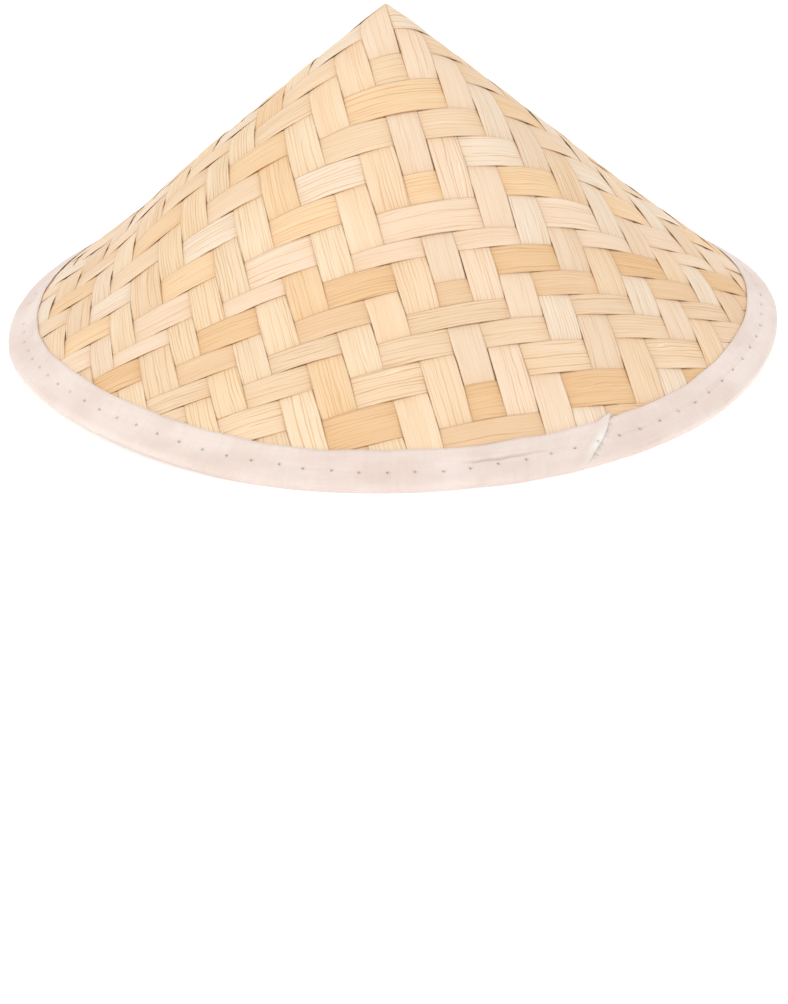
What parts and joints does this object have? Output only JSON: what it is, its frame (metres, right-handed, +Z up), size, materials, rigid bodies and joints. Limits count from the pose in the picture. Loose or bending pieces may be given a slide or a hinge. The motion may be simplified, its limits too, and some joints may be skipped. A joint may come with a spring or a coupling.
{
  "type": "conical hat",
  "caption": "Wide conical sun hat woven from flat bamboo strips in a continuous twill, with a stitched cotton tape folded round its rim and a head hoop hung inside.",
  "frame": {"origin": "centre of the rim's lowest plane, under the apex", "axes": "+Z up through the apex, -Y towards the front, +X towards the right as seen from the front"},
  "size_m": [0.35, 0.35, 0.1547],
  "materials": {
    "bamboo_front": "split bamboo, satin, golden and pinkish tan, fine lengthwise fibres",
    "bamboo_right": "split bamboo, satin, pale cream, fine lengthwise fibres",
    "bamboo_left": "split bamboo, satin, pale cream to gold, fine lengthwise fibres",
    "bamboo_splint": "bent bamboo splint, satin",
    "cotton_tape": "plain-woven cotton tape, off-white, matte",
    "sewing_thread": "twisted cotton thread, off-white",
    "tie_cord": "thin twisted cord, tan"
  },
  "bodies": {
    "root": {"front_strip_01": "bamboo_front", "front_strip_02": "bamboo_front", "front_strip_03": "bamboo_front", "front_strip_04": "bamboo_front", "front_strip_05": "bamboo_front", "front_strip_06": "bamboo_front", "front_strip_07": "bamboo_front", "front_strip_08": "bamboo_front", "front_strip_09": "bamboo_front", "front_strip_10": "bamboo_front", "front_strip_11": "bamboo_front", "front_strip_12": "bamboo_front", "front_strip_13": "bamboo_front", "front_strip_14": "bamboo_front", "front_strip_15": "bamboo_front", "front_strip_16": "bamboo_front", "front_strip_17": "bamboo_front", "right_strip_01": "bamboo_right", "right_strip_02": "bamboo_right", "right_strip_03": "bamboo_right", "right_strip_04": "bamboo_right", "right_strip_05": "bamboo_right", "right_strip_06": "bamboo_right", "right_strip_07": "bamboo_right", "right_strip_08": "bamboo_right", "right_strip_09": "bamboo_right", "right_strip_10": "bamboo_right", "right_strip_11": "bamboo_right", "right_strip_12": "bamboo_right", "right_strip_13": "bamboo_right", "right_strip_14": "bamboo_right", "right_strip_15": "bamboo_right", "left_strip_01": "bamboo_left", "left_strip_02": "bamboo_left", "left_strip_03": "bamboo_left", "left_strip_04": "bamboo_left", "left_strip_05": "bamboo_left", "left_strip_06": "bamboo_left", "left_strip_07": "bamboo_left", "left_strip_08": "bamboo_left", "left_strip_09": "bamboo_left", "left_strip_10": "bamboo_left", "left_strip_11": "bamboo_left", "left_strip_12": "bamboo_left", "left_strip_13": "bamboo_left", "left_strip_14": "bamboo_left", "left_strip_15": "bamboo_left", "left_strip_16": "bamboo_left", "binding_tape": "cotton_tape", "rim_hoop": "bamboo_splint", "needle_thread": "sewing_thread", "bobbin_thread": "sewing_thread", "head_hoop": "bamboo_splint", "head_tie_1": "tie_cord", "head_tie_2": "tie_cord", "head_tie_3": "tie_cord", "head_tie_4": "tie_cord", "chin_loop_left": "cotton_tape", "chin_loop_right": "cotton_tape"}
  },
  "joints": []
}
